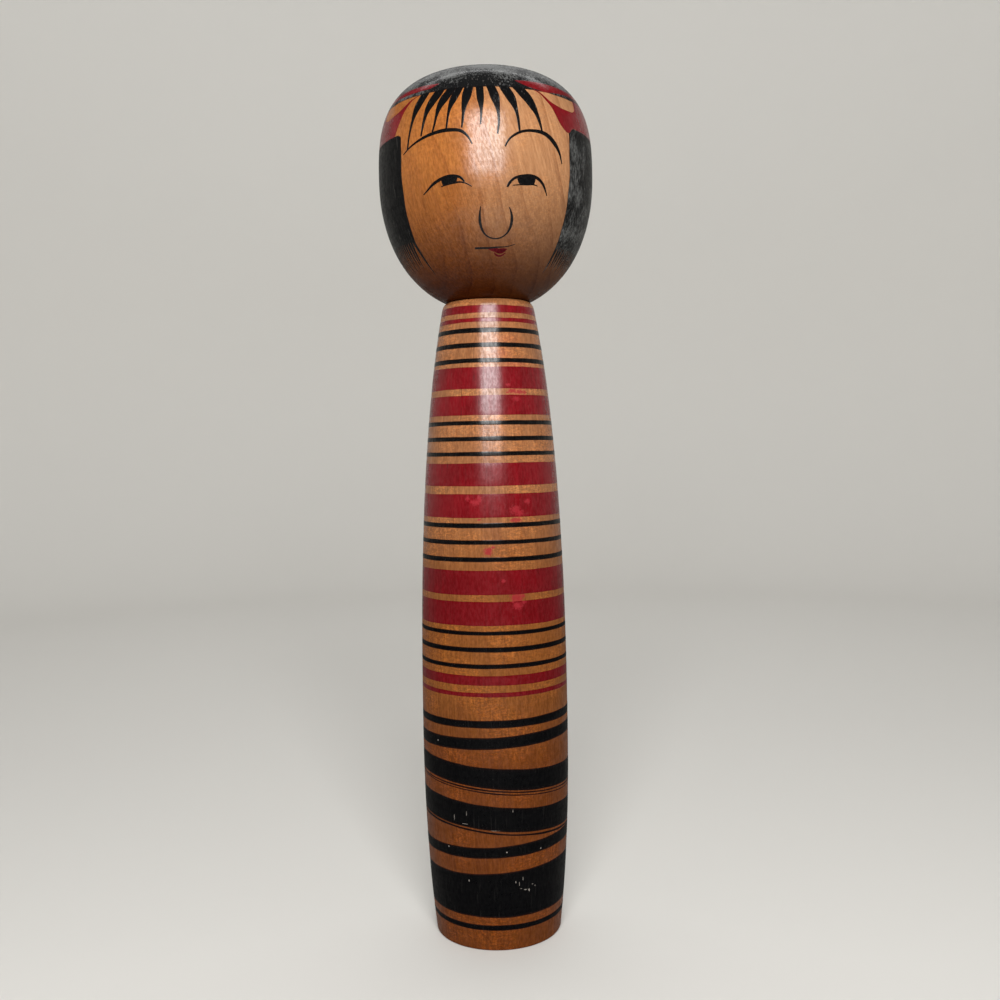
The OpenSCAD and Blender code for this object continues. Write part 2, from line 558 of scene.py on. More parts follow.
def new_material(name):
    """An empty material: its tree, shader node and Object coordinates."""
    material = bpy.data.materials.new(name)
    material.use_nodes = True
    tree = material.node_tree
    tree.nodes.clear()
    shader = tree.nodes.new("ShaderNodeBsdfPrincipled")
    shader.location = (1900, 200)
    output = tree.nodes.new("ShaderNodeOutputMaterial")
    output.location = (2200, 200)
    tree.links.new(shader.outputs[0], output.inputs[0])
    place = add_node(tree, "ShaderNodeTexCoord").outputs["Object"]
    return material, tree, shader, place


def finish_material(tree, shader, colour, rough, height, depth, gloss, coat_rough):
    """Wires colour, roughness, gloss and a bump of that depth in metres into the shader."""
    tree.links.new(colour, shader.inputs["Base Color"])
    tree.links.new(rough, shader.inputs["Roughness"])
    bump = add_node(tree, "ShaderNodeBump", {"Height": height, "Distance": depth, "Strength": 1.0})
    tree.links.new(bump.outputs[0], shader.inputs["Normal"])
    tree.links.new(gloss, shader.inputs["Coat Weight"])
    shader.inputs["Coat Roughness"].default_value = coat_rough
    shader.inputs["Coat IOR"].default_value = 1.5
    shader.inputs["Specular IOR Level"].default_value = 0.0
    shader.inputs["IOR"].default_value = 1.45


def broken_gloss(tree, figure, lines, gloss, spread):
    """A gloss that the grain and the tool lines break up by that much to either side."""
    uneven = plus(tree, times(tree, figure["Grains"], 0.45), times(tree, lines, 0.9))
    uneven = plus(tree, uneven, times(tree, figure["Streaks"], 0.25))
    return times(tree, between(tree, uneven, 0.45, 1.15, 1 - spread, 1 + spread), gloss)


def worn_gloss(tree, place, top):
    """Gloss of the body: handling has dulled it towards the foot."""
    return between(tree, parts_of(tree, place)[2], *BODY_DULLED, top * FOOT_GLOSS, top)


def attribute(tree, name):
    """A value carried by the mesh's points."""
    return add_node(tree, "ShaderNodeAttribute", attribute_name=name).outputs["Fac"]


def chips(tree, place, spots, soft=0.15):
    """Where there is one of several chips on the body. Each has its azimuth in degrees, and its
    height on the body, its width and its own height in millimetres."""
    mask = None
    for azimuth, height, width, high in spots:
        centre = tuple(on_body(np.float64(azimuth), np.float64(height)).tolist())
        sockets = {
            "Place": place,
            "Centre": centre,
            "Turn": (0, 0, math.radians(azimuth)),
            "Size": (width * MM / 2, CHIP_DEPTH, high * MM / 2),
            "Soft": soft,
        }
        one = use_group(tree, "chip", sockets)["Mask"]
        mask = one if mask is None else calc(tree, "MAXIMUM", mask, one)
    return mask


# How far the mask of a chip reaches in and out of the surface.
CHIP_DEPTH = 2 * MM
# The pith's place and lean on each piece, the ring spacing and how much the rings bend.
WOOD_PLACING = {
    "body": ((0.010, -0.055, 0.0), (0.02, 0.035, 0.0), 0.0050, 3.0),
    "head": ((0.020, 0.030, -0.30), (-0.10, 0.27, 0.0), 0.0085, 1.5),
}
# What the figure of the wood multiplies a colour by.
DARK_GRAIN = (0.50, 0.36, 0.26)
PALE_GRAIN = (1.35, 1.32, 1.25)
PALE_RAY = (1.7, 1.6, 1.35)
CLOUDED = (0.75, 0.6, 0.45)
RED_FIBRE = (0.5, 0.35, 0.35)
# Colours of scores in bare wood and in red, and of scratches and chips in black.
WOOD_SCORE = (0.04, 0.015, 0.008)
RED_SCORE = (0.02, 0.004, 0.004)
INK_SCRATCH = (0.30, 0.27, 0.25)
INK_CHIP = (0.2, 0.18, 0.16)
# Heights in metres between which one thing goes over into another: the body's wood into its darker
# middle and foot colours, partly the wood's own darkening and partly painted shade low down; red into
# deep red, also partly painted shade low down; the painted shade under the chin; and gloss on the body,
# ink and chin.
MID_WOOD = (0.215, 0.125)
OLD_AND_SHADED_WOOD = (0.115, 0.075)
DEEP_RED = (0.225, 0.12)
CHIN_SHADE = (0.328, 0.266)
BODY_DULLED = (0.12, 0.215)
INK_DULLED = (0.13, 0.21)
CHIN_DULLED = (0.272, 0.312)
# The share of the body's gloss that is left at the foot.
FOOT_GLOSS = 0.32
# From the pale wood of the face to the warm wood at its left, in metres along X.
WARM_SIDE = (0.016, -0.014)
# How each film of ink has worn, and on the cap how grey it is painted towards the crown, partly wear and
# partly painted reflection of the light from above: the axis along which that changes, the reach of the
# change in metres, how worn it is at each end, how grey it is where whole and where bared, how softly
# one goes over into the other, how scratched it is, and its gloss.
INK_WEAR_AND_SHEEN = {
    "body_ink": {
        "axis": 2, "reach": (0.0, 0.27), "worn": (0.1, 0.1), "grey": (0.0, 0.25),
        "softness": 0.2, "scratched": 0.012, "gloss": 0.45,
    },
    # The cap greys towards the crown: partly wear, partly painted reflection of the bright space above.
    "cap_ink_with_sheen": {
        "axis": 2, "reach": (0.346, 0.359), "worn": (0.68, 0.9), "grey": (0.015, 0.3),
        "softness": 0.17, "scratched": 0.1, "gloss": 0.45,
    },
    "fringe_ink": {
        "axis": 0, "reach": (-0.01, 0.01), "worn": (0.25, 0.62), "grey": (0.008, 0.3),
        "softness": 0.2, "scratched": 0.1, "gloss": 0.3,
    },
    "lock_ink": {
        "axis": 0, "reach": (-0.03, 0.03), "worn": (0.4, 0.85), "grey": (0.006, 0.36),
        "softness": 0.36, "scratched": 0.06, "gloss": 0.26,
    },
    "face_ink": {
        "axis": 2, "reach": (0.27, 0.36), "worn": (0.1, 0.1), "grey": (0.006, 0.25),
        "softness": 0.2, "scratched": 0.0, "gloss": 0.3,
    },
}


def wooden_material(name, piece):
    """A new material on a piece, with the figure of its wood and its tool lines."""
    material, tree, shader, place = new_material(name)
    location, rotation, spacing, bend = WOOD_PLACING[piece]
    moved = stretch(tree, place, (1, 1, 1), location, rotation)
    figure = use_group(tree, "wood figure", {"Place": moved, "Spacing": spacing, "Bend": bend})
    lines = use_group(tree, "tool lines", {"Place": place})["Lines"]
    return material, tree, shader, place, figure, lines


def figured(tree, figure, colour, growth, rings, streaks, fibre, grains, rays):
    """A wood colour with its figure laid over it, each kind by its own amount."""
    colour = laid(tree, colour, figure["Rings"], rings, growth)
    colour = laid(tree, colour, figure["Streaks"], streaks, DARK_GRAIN, "MULTIPLY")
    colour = laid(tree, colour, figure["Fibre"], fibre, DARK_GRAIN, "MULTIPLY")
    colour = laid(tree, colour, figure["Grains"], grains, PALE_GRAIN, "MULTIPLY")
    return laid(tree, colour, figure["Rays"], rays, PALE_RAY, "MULTIPLY")


def finish_wood(tree, shader, figure, lines, colour, gloss):
    """Waxed wood, whose grain and tool lines show in its roughness, relief and gloss."""
    rough = between(tree, figure["Grains"], 0.0, 1.0, 0.48, 0.36)
    relief = plus(tree, lines, times(tree, figure["Grains"], 0.5))
    gloss = broken_gloss(tree, figure, lines, gloss, spread=0.45)
    finish_material(tree, shader, colour, rough, relief, 0.00002, gloss, coat_rough=0.24)


def body_wood_material():
    """Waxed pale wood, darker and browner towards the foot, partly its own colour and partly painted
    shade, with red that has run onto it.
    """
    b, p = bpy.context.scene.doll_body, bpy.context.scene.doll_paint
    material, tree, shader, place, figure, lines = wooden_material("body_wood", "body")
    height = parts_of(tree, place)[2]
    # Darker towards the waist and the foot: partly the wood's own darkening, partly painted shade.
    colour = mix(tree, between(tree, height, *MID_WOOD), b.wood, b.mid_wood)
    colour = mix(tree, between(tree, height, *OLD_AND_SHADED_WOOD), colour, b.old_and_shaded_wood)
    colour = figured(
        tree, figure, colour, b.growth, rings=0.45, streaks=0.28, fibre=0.42, grains=0.9, rays=0.9
    )
    colour = laid(tree, colour, figure["Cloud"], 0.2, CLOUDED, "MULTIPLY")
    colour = mix(tree, attribute(tree, "stain"), colour, p.red_thin)
    colour = laid(tree, colour, chips(tree, place, WOOD_SPOTS, soft=0.35), 0.8, p.run_red)
    colour = laid(tree, colour, chips(tree, place, SCORES), 0.7, WOOD_SCORE)
    finish_wood(tree, shader, figure, lines, colour, worn_gloss(tree, place, 0.7))
    return material


def head_wood_material():
    """Waxed pale wood with long growth lines that lean: redder and grainier on the left side, and
    darkened under the chin as painted shade."""
    h = bpy.context.scene.doll_head
    material, tree, shader, place, figure, lines = wooden_material("head_wood", "head")
    spread = parts_of(tree, place)
    wander = times(tree, minus(tree, figure["Cloud"], 0.5), 0.012)
    left = between(tree, plus(tree, spread[0], wander), *WARM_SIDE)
    colour = mix(tree, left, h.wood, h.warm_wood)
    speckle = between(tree, left, 0.0, 1.0, 0.35, 0.85)
    colour = figured(
        tree, figure, colour, h.growth, rings=0.72, streaks=0.28, fibre=0.42, grains=speckle, rays=0.3
    )
    # Painted shade under the chin, multiplied into the wood.
    colour = mix(tree, between(tree, spread[2], *CHIN_SHADE), colour, h.chin_shade, "MULTIPLY")
    dulled = between(tree, spread[2], *CHIN_DULLED, 0.2, 0.62)
    finish_wood(tree, shader, figure, lines, colour, dulled)
    return material


def ink_material(name, piece, spots=()):
    """Glossy black, brown at its thin edges, rubbed grey, on the cap partly as painted reflection,
    scratched and chipped in places.
    """
    p, wear = bpy.context.scene.doll_paint, INK_WEAR_AND_SHEEN[name]
    material, tree, shader, place, figure, lines = wooden_material(name, piece)
    spread = parts_of(tree, place)
    amount = between(tree, spread[wear["axis"]], *wear["reach"], *wear["worn"])
    sockets = {"Place": place, "Amount": amount, "Softness": wear["softness"]}
    worn = use_group(tree, "rubbed film", sockets)
    colour = mix(tree, between(tree, worn["Rubbed"], 0.0, 1.0, *wear["grey"]), p.ink, p.ink_worn_and_sheen)
    colour = laid(tree, colour, worn["Scratches"], wear["scratched"], INK_SCRATCH)
    colour = laid(tree, colour, attribute(tree, "thin"), 0.8, p.ink_edge)
    if spots:
        colour = mix(tree, chips(tree, place, spots), colour, INK_CHIP)
    rough = between(tree, worn["Rubbed"], 0.0, 1.0, 0.32, 0.55)
    relief = plus(tree, lines, times(tree, figure["Fibre"], 0.4))
    kept = between(tree, spread[2], *INK_DULLED, 0.1, wear["gloss"])
    gloss = broken_gloss(tree, figure, lines, kept, spread=0.3)
    finish_material(tree, shader, colour, rough, relief, 0.00001, gloss, coat_rough=0.2)
    return material


def red_material(name, piece, red, wear, gloss, deepening=0.0, spots=(), scores=()):
    """Deep translucent red dye, darker where it lies thick, and darker lower down, partly as painted
    shade. The wood's figure shows in it, and it has pale spots where it was wetted, and thin dark
    scores."""
    p = bpy.context.scene.doll_paint
    material, tree, shader, place, figure, lines = wooden_material(name, piece)
    worn = use_group(tree, "rubbed film", {"Place": place, "Amount": wear})
    # Deeper red lower down on the body: partly the dye's own colour, partly painted shade.
    deep = between(tree, parts_of(tree, place)[2], *DEEP_RED, 0.0, deepening)
    colour = mix(tree, deep, red, p.red_deep)
    colour = laid(tree, colour, figure["Streaks"], 0.45, p.red_deep)
    colour = laid(tree, colour, figure["Cloud"], 0.45, p.red_deep)
    colour = laid(tree, colour, figure["Grains"], 0.07, p.red_thin)
    colour = laid(tree, colour, worn["Rubbed"], 0.35, p.red_thin)
    colour = laid(tree, colour, figure["Fibre"], 0.3, RED_FIBRE, "MULTIPLY")
    colour = laid(tree, colour, attribute(tree, "thin"), 0.35, p.red_deep)
    if spots:
        colour = laid(tree, colour, chips(tree, place, spots, soft=0.6), 0.3, p.red_thin)
        colour = laid(tree, colour, chips(tree, place, scores), 0.7, RED_SCORE)
    rough = between(tree, worn["Rubbed"], 0.0, 1.0, 0.36, 0.5)
    relief = plus(tree, lines, times(tree, figure["Fibre"], 0.5))
    gloss = broken_gloss(tree, figure, lines, worn_gloss(tree, place, gloss), spread=0.25)
    finish_material(tree, shader, colour, rough, relief, 0.00001, gloss, coat_rough=0.24)
    return material


# ---------------------------------------------------------------- painted bands of the body

# Level bands, which were drawn on the lathe: lower and upper edge in millimetres.
LEVEL_RED = (
    (263.3, 266.5), (259.5, 261.2), (232.0, 241.0), (221.3, 229.4), (192.5, 201.8),
    (179.7, 189.3), (148.4, 158.3), (135.9, 145.7), (111.6, 115.6), (106.9, 108.7),
)
LEVEL_BLACK = (
    (255.07, 257.03), (248.97, 250.93), (242.67, 244.53), (217.27, 219.03), (210.77, 212.63),
    (204.67, 206.43), (175.57, 177.53), (168.82, 170.63), (161.77, 163.73), (132.02, 133.73),
    (125.17, 127.23), (118.47, 120.33), (9.0, 11.3),
)
# Bands put on by brush, which lean: lower edge and its lean, upper edge and its lean. The lean is
# how much higher the edge is at the right side than at the front.
BRUSHED_BLACK = (
    (94.15, 0.3, 97.4, 0.6), (85.55, 1.4, 90.5, 1.25), (69.0, -3.1, 77.6, -2.7),
    (66.85, -3.3, 67.35, -3.3), (67.85, -3.1, 68.5, -3.1),
    (51.45, -3.2, 61.7, -3.2), (50.0, -3.4, 50.85, -3.4),
    (40.15, 1.3, 44.95, 1.7), (14.6, 0.0, 33.8, 1.7),
)
# A soft blush of red on bare wood: azimuth, height, reach round and up, and strength.
STAINS = (
    (26, 242.0, 14, 1.8, 0.2), (14, 246.5, 9, 2.5, 0.14), (-28, 187.5, 8, 1.5, 0.15),
    (20, 252.5, 14, 2.0, 0.1), (26, 230.7, 9, 1.6, 0.25),
)
# Red that has run onto bare wood, and pale spots in the red, given in the way of chips.
WOOD_SPOTS = (
    (22, 231.0, 3.6, 1.9), (29, 230.6, 3.2, 1.9), (35, 230.4, 1.6, 1.8), (17, 230.4, 1.4, 0.7),
    (-3.5, 166.0, 3.4, 3.4), (0.5, 167.8, 1.6, 1.4), (20, 178.6, 4.6, 2.0),
    (15.8, 178.4, 1.2, 1.4), (-10, 178.9, 1.6, 0.8), (18.5, 147.0, 5.6, 4.2),
    (23.5, 147.6, 2.4, 1.6),
)
RED_SPOTS = (
    (-13.0, 186.0, 3.4, 2.2), (-10.0, 187.2, 1.8, 3.0), (-16.5, 186.2, 1.6, 1.2),
    (19.5, 182.6, 4.2, 3.2), (23.0, 181.4, 3.6, 2.6), (30.5, 186.0, 2.6, 1.8),
    (-20, 187.5, 1.6, 2.2), (19, 143.8, 3.6, 2.8), (15, 146, 1.6, 2.0), (24, 145.2, 2.0, 1.6),
    (18, 233.5, 2.2, 1.2), (25, 227.8, 3.0, 1.6), (8, 154, 1.4, 1.6),
)
# Thin dark scores down the side, given in the same way.
SCORES = (
    (-15.5, 247.0, 0.28, 6.5), (-15.0, 238.0, 0.25, 6.0), (-27.5, 230.7, 0.35, 4.0),
    (-27.0, 222.5, 0.28, 5.0), (-40.0, 201.0, 0.3, 2.6), (-10.0, 226.5, 0.2, 3.0),
    (38.0, 229.8, 0.4, 1.8), (-30, 165.5, 0.25, 2.2),
)
# Chips in the black bands, given in the same way.
BODY_CHIPS = (
    (-42, 43, 0.7, 0.6), (7, 42.6, 0.6, 0.5), (36, 42.0, 0.7, 0.5), (-50, 87, 0.6, 0.7),
    (-24, 30, 0.5, 0.9), (22.5, 25.8, 1.3, 0.5), (25.5, 25.4, 0.6, 1.2), (17, 28.5, 0.25, 1.6),
    (18.5, 26.5, 0.9, 0.2), (20, 30.8, 0.25, 1.4), (28.5, 27.6, 0.9, 0.25), (31, 26.6, 0.25, 0.8),
    (14, 29.5, 0.3, 0.9), (-3, 51.8, 4.5, 0.14), (-26, 54.0, 2.8, 0.14), (-35, 56.0, 0.2, 2.4),
    (-9, 66.5, 1.6, 0.3), (-24, 58.5, 0.2, 1.8), (12, 60.0, 0.2, 1.6),
)


def add_band(shape, low, low_lean, high, high_lean, film, waver, seed):
    """A closed ring of colour. Each edge is its height, plus its lean times the sine of the
    azimuth, plus a small slow waver of the hand."""
    azimuth = np.arange(BAND_STEPS) * 360 / BAND_STEPS
    a = np.radians(azimuth)
    wave = [
        waver * (np.sin(3 * a + s) + 0.7 * np.sin(7 * a + 2.3 * s) + 0.5 * np.sin(17 * a + 4.1 * s))
        for s in (seed, seed + 1.9)
    ]
    bottom = low + low_lean * np.sin(a) + wave[0]
    top = high + high_lean * np.sin(a) + wave[1]
    add_film(
        shape, on_body, np.stack([azimuth, top], -1), np.stack([azimuth, bottom], -1), film, ring=True
    )


# ---------------------------------------------------------------- painted lines of the head

# Locks of the fringe, from the cap down: azimuth and latitude in degrees, width in millimetres.
FRINGE = (
    ((-32.6, 33.7, 3.4), (-34.6, 30.1, 3.7), (-36.7, 26.5, 3.6), (-38.4, 22.9, 2.7),
     (-39.6, 19.3, 1.6), (-41.0, 14.5, 1.1), (-42.9, 5.5, 0.8)),
    ((-23.4, 33.7, 3.5), (-25.6, 30.1, 3.9), (-28.2, 26.5, 3.8), (-30.4, 22.9, 2.6),
     (-31.7, 19.1, 1.5), (-32.8, 14.7, 1.1), (-33.7, 10.5, 0.8)),
    ((-16.8, 33.7, 3.3), (-19.0, 30.1, 3.6), (-21.6, 26.5, 3.5), (-23.7, 22.9, 2.3),
     (-24.9, 19.1, 1.3), (-25.8, 15.2, 1), (-26.9, 11.6, 0.8)),
    ((-12.3, 33.7, 2.7), (-14.2, 30.1, 3), (-16.1, 26.3, 2.9), (-17.5, 22.9, 1.9),
     (-18.4, 19.2, 1.1), (-18.9, 15.5, 0.9), (-19.3, 12.4, 0.7)),
    ((-7.8, 33.7, 3.2), (-8.6, 30.1, 3.6), (-9.4, 26.3, 3.5), (-10.2, 22.7, 2.3),
     (-10.6, 19.1, 1.2), (-10.9, 15.7, 1), (-11.4, 12, 0.7)),
    ((-2.6, 33.7, 2.8), (-2.3, 30.1, 3), (-2.0, 26.1, 2.9), (-1.7, 22.7, 1.9), (-1.6, 20.1, 1.1),
     (-1.7, 17.2, 0.9), (-2.1, 13.1, 0.6)),
    ((2.8, 33.7, 3.2), (4.3, 30.1, 3.6), (5.5, 26.3, 3.5), (6.3, 22.9, 2.4), (6.8, 19.7, 1.4),
     (7.0, 14.7, 1), (6.2, 8.6, 0.7)),
    ((9.6, 33.7, 3.4), (11.8, 30.1, 3.8), (13.8, 26.5, 3.7), (15.2, 23.1, 2.6), (16.2, 19.7, 1.5),
     (17.0, 14.7, 1.1), (17.3, 10.5, 0.8)),
    ((17.2, 33.7, 3.8), (20.3, 30.1, 4.2), (23.3, 26.5, 4.2), (25.5, 22.9, 3.1),
     (27.2, 19.5, 1.8), (28.8, 15, 1.2), (29.7, 11.5, 0.8)),
)
# Brush lines of the face, given in the same way.
BROWS = (
    ((-46, 3.7, 0.4), (-43, 5.5, 0.62), (-35, 8.8, 1.02), (-25, 11.1, 1.48), (-18, 11.5, 1.48),
     (-11, 10.1, 1.16), (-8.5, 7.8, 0.85), (-6.3, 4, 0.54)),
    ((9.8, 2.7, 0.62), (11.5, 5.7, 0.78), (17, 9.7, 1.02), (26, 11.2, 1.32), (31, 10.6, 1.64),
     (37.5, 6.3, 1.78), (40, 3, 1.32), (42, -2.7, 0.47)),
)
EYES = (
    ((-33.8, -17.7, 0.43), (-31, -15.9, 0.76), (-28.5, -14.1, 1.1), (-22, -11.3, 1.26),
     (-18, -10.6, 1.26), (-15, -10.8, 1.17), (-12.5, -11.7, 1.01), (-10.6, -13.7, 0.68)),
    ((-23, -15.1, 0.43), (-20, -14.5, 0.59), (-16, -13.9, 0.76), (-12.5, -13.8, 0.68),
     (-9.5, -14.7, 0.51), (-7, -16.1, 0.34)),
    ((10.8, -16.5, 0.76), (11.8, -14.7, 1.01), (13.5, -12.9, 1.01), (19.5, -10.8, 1.1),
     (24, -10.7, 1.26), (27, -11.6, 1.26), (29.8, -13.7, 1.1), (33, -19.1, 0.43)),
    ((13.5, -15.6, 0.34), (17, -15.2, 0.51), (21, -14.9, 0.68), (25, -14.7, 0.59),
     (27, -15.2, 0.34)),
)
# Each pupil, in azimuth and latitude: its upper edge under the lid, and its rounded lower edge.
PUPILS = (
    (((-22.7, -12.3), (-20.5, -11.2), (-17.5, -10.8), (-14.2, -11.2)),
     ((-22.7, -12.8), (-22.0, -14.6), (-20.2, -14.8), (-17.4, -14.4), (-15.0, -13.9), (-14.2, -12.2))),
    (((15.9, -12.3), (19.0, -11.1), (22.6, -10.9), (25.7, -11.8)),
     ((15.9, -12.8), (16.8, -14.6), (18.6, -15.1), (22.6, -15.0), (24.9, -14.6), (25.7, -12.6))),
)
# One line each for the nose and the mouth.
NOSE = (
    (-2.9, -25.2, 0.34), (-3.5, -29, 0.86), (-3.6, -31.5, 1.15), (-3.0, -34.5, 0.98),
    (-1.2, -37.5, 0.69), (3, -39.5, 0.57), (8.5, -39.1, 0.57), (11.6, -37.2, 0.75),
    (13.5, -34, 1.09), (13.9, -31, 1.15), (13.3, -28, 0.8), (12.1, -25.5, 0.34),
)
MOUTH = (
    (-7.5, -43.9, 0.88), (-3, -43.9, 0.88), (2, -43.9, 0.81), (6, -43.6, 0.75), (10, -43.4, 0.44),
    (13.5, -43, 0.38), (17.5, -42, 0.25),
)
# The lip: a small petal under the line, a larger one to the right, and a curl round them.
LIP = (
    (((0.6, -44.2), (3, -43.9), (6, -43.9), (8, -44.3)),
     ((0.6, -44.4), (3, -45.3), (6, -45.7), (8, -44.9))),
    (((4.6, -45.2), (7, -44.3), (10, -44.0), (12.6, -44.2)),
     ((4.6, -45.6), (7, -46.4), (10, -46.3), (12.6, -44.6))),
)
LIP_CURL = ((4.6, -46.0, 0.4), (6, -47.2, 0.7), (9, -47.5, 0.7), (11.9, -46.2, 0.4))
# The ribbon, and the front half of the leaf above each side lock: upper line and lower line.
RIBBON = (
    ((17.5, 36.7), (23, 37.3), (60, 37.4), (120, 37.4), (180, 37.4), (240, 37.4), (300, 37.4),
     (326, 37.3), (334.5, 36.6)),
    ((18.5, 35.9), (22.5, 34.0), (60, 33.9), (120, 33.9), (180, 33.9), (240, 33.9), (300, 33.9),
     (325, 33.9), (328.5, 34.0)),
)
RIGHT_LEAF = (
    ((27.5, 32.3), (31, 31.5), (34, 29.5), (37.5, 27.2), (41, 26), (45, 25.2), (50, 25),
     (55, 25.4), (57.5, 27.4), (58.3, 30), (58.8, 32.3)),
    ((27.5, 32.0), (31, 30.5), (34, 27.5), (37, 24.5), (39.5, 20.5), (41.5, 17.3), (44, 15),
     (46, 13.8), (48.5, 13.7), (51, 15.9), (60, 16.2)),
)
LEFT_LEAF = (
    ((-38, 31.8), (-43, 30.5), (-48, 28), (-53, 26), (-59, 25), (-65, 24.6), (-68.5, 25.6),
     (-70, 28), (-70.6, 32.0)),
    ((-38, 31.5), (-42, 30.0), (-45, 27.5), (-48, 23.5), (-50, 20), (-52, 17), (-53.3, 14.6),
     (-60, 14.1), (-70, 14.1)),
)
# Azimuth of the middle of each leaf.
RIGHT_LEAF_MIDDLE, LEFT_LEAF_MIDDLE = 77, -84
# Each side lock: -1 for the left side and 1 for the right, azimuth of its inner and outer edge,
# latitude of its top and of where its strands begin, the inner strand's tip, and the latitude of
# the other tips.
LEFT_LOCK = {
    "side": -1, "inner": 47.7, "outer": 104, "top": 14.3, "bottom": -37.5,
    "inner_tip": (44.0, -54.5), "tips": -50.0,
}
RIGHT_LOCK = {
    "side": 1, "inner": 47.8, "outer": 104, "top": 16.5, "bottom": -41.5,
    "inner_tip": (47.6, -54.5), "tips": -51.5,
}
# How many strands a lock ends in and how far apart they are, and the size of its upper corners, in
# degrees.
STRANDS, STRANDS_APART, LOCK_CORNER = 21, 2.6, 2.6
# The cap's lower edge: its latitude, millimetres to a degree there, and how far in it is thin.
CAP_EDGE, CAP_DEGREE, CAP_BLEED = 31.8, 0.8, 0.22


def add_cap(shape, film):
    """The black cap of hair: from its lower edge over the crown to the axis. The edge is a latitude
    with a small waver, and rows of points follow it upwards; below, the cap closes under itself."""
    azimuth = np.arange(CAP_STEPS) * 360 / CAP_STEPS
    a = np.radians(azimuth)
    edge = CAP_EDGE + 0.12 * np.sin(5 * a + 1) + 0.1 * np.sin(13 * a) + 0.06 * np.sin(31 * a)
    share = np.linspace(0, 1, 61)[:-1] ** 1.1
    latitude = edge[None] + (90 - edge[None]) * share[:, None]
    lift = film * np.clip(share / share[1], 0, 1)[:, None]
    top = on_head(azimuth[None], latitude, lift)
    under = on_head(azimuth[None], latitude[::-6], np.full((1, 1), -2 * film))
    crown = np.array([0, 0, HEAD_HIGH.z])
    near_edge = np.exp(-((latitude - edge) * CAP_DEGREE / CAP_BLEED) ** 2)
    thin = np.concatenate([np.zeros(under.shape[:2]), near_edge])
    add_turning(
        shape,
        np.concatenate([under, top]),
        crown - [0, 0, 2 * film],
        crown + [0, 0, film],
        thin=thin,
    )


def add_lock(shape, film, side, inner, outer, top, bottom, inner_tip, tips):
    """A lock of hair at one side of the face: a block with rounded upper corners whose lower end
    goes out in strands that narrow to a point."""
    latitude = np.linspace(bottom, top, 60)
    in_corner = np.clip((latitude - (top - LOCK_CORNER)) / LOCK_CORNER, 0, 1)
    cut = LOCK_CORNER * (1 - np.sqrt(1 - in_corner**2))
    wave = 0.15 * np.sin(latitude * 0.35 + inner)
    near = np.stack([side * (inner + cut + wave), latitude], -1)
    far = np.stack([side * (outer - cut), latitude], -1)
    left, right = (near, far) if side > 0 else (far, near)
    add_film(shape, on_head, left, right, film, across=41)
    full = STRANDS_APART * math.radians(1) * head_outline(bottom)[0] / MM
    for seed in range(STRANDS):
        start = inner + STRANDS_APART * (seed + 0.42)
        end, last = inner_tip
        if seed > 0:
            end = start + 0.35 * math.sin(2.1 * seed)
            last = tips + 1.8 * math.sin(3.3 * seed)
        path = (
            (side * start, bottom + 2.5, full * 0.98),
            (side * start, bottom - 0.5, full * 0.92),
            (side * (0.65 * start + 0.35 * end), (2 * bottom + last) / 3, full * 0.74),
            (side * (0.3 * start + 0.7 * end), (bottom + 2 * last) / 3, full * 0.46),
            (side * end, last, 0.2),
        )
        add_stroke(shape, on_head, path, film * 1.1, count=30, waver=0.03, seed=seed)


def mirrored(points, centre):
    """Points and their mirror images about an azimuth, as one line."""
    p = np.asarray(points, float)
    q = p[::-1].copy()
    q[:, 0] = 2 * centre - q[:, 0]
    return np.concatenate([p, q])


def add_leaf(shape, upper, lower, film, across=25, count=120):
    """A flat shape of colour between an upper and a lower line, both smooth."""
    add_film(shape, on_head, smooth_path(upper, count), smooth_path(lower, count), film, across)


# ---------------------------------------------------------------- stage

# What the key and the rear light are turned to, and the place, width and height of the rear light
# and of the one that washes the backdrop.
LIGHT_AIM = Vector((0, 0, 0.26))
REAR_PLACE, REAR_SIZE = Vector((0, 0.75, 1.2)), (0.9, 0.6)
WASH_PLACE, WASH_SIZE = Vector((0, 0.45, 1.5)), (1.6, 0.3)
# The way the back of the second one is turned.
WASH_BACK = Vector((0, -1, 1))
SKY_COLOUR = (1.0, 0.985, 0.96, 1)
FLOOR_TONE = (0.6, 0.58, 0.56)
SENSOR_WIDTH = 36


def add_floor(s):
    """A round floor that bends up all round into a backdrop, with a very faint cloudy tone."""
    bend = np.linspace(0, np.pi / 2, 17)
    curve = s.floor_radius + s.cove_radius * np.sin(bend)
    radius = np.concatenate([[s.floor_radius * 0.5], curve])
    height = np.concatenate([[0.0], s.cove_radius * (1 - np.cos(bend))])
    radius, height = np.append(radius, radius[-1]), np.append(height, s.wall_height)
    azimuth = np.arange(96) * 360 / 96
    rings = turned(radius[:, None], height[:, None], azimuth[None])
    rows, columns = rings.shape[:2]
    points = np.concatenate([rings.reshape(-1, 3), [[0, 0, 0]]])
    c = np.arange(columns)
    middle = np.stack([np.full(columns, rows * columns), c, (c + 1) % columns], -1)
    faces = quads(rows, columns, False, True)[:, ::-1].tolist() + middle.tolist()
    mesh = bpy.data.meshes.new("floor")
    mesh.from_pydata(points.tolist(), [], faces)
    mesh.shade_smooth()
    floor = bpy.data.objects.new("floor", mesh)
    bpy.context.scene.collection.objects.link(floor)
    material, tree, shader, place = new_material("floor_paper")
    tone = between(tree, noise(tree, place, 3, 2), 0.3, 0.7, 0.0, 0.04)
    tree.links.new(mix(tree, tone, s.floor, FLOOR_TONE), shader.inputs["Base Color"])
    shader.inputs["Roughness"].default_value = 0.8
    mesh.materials.append(material)


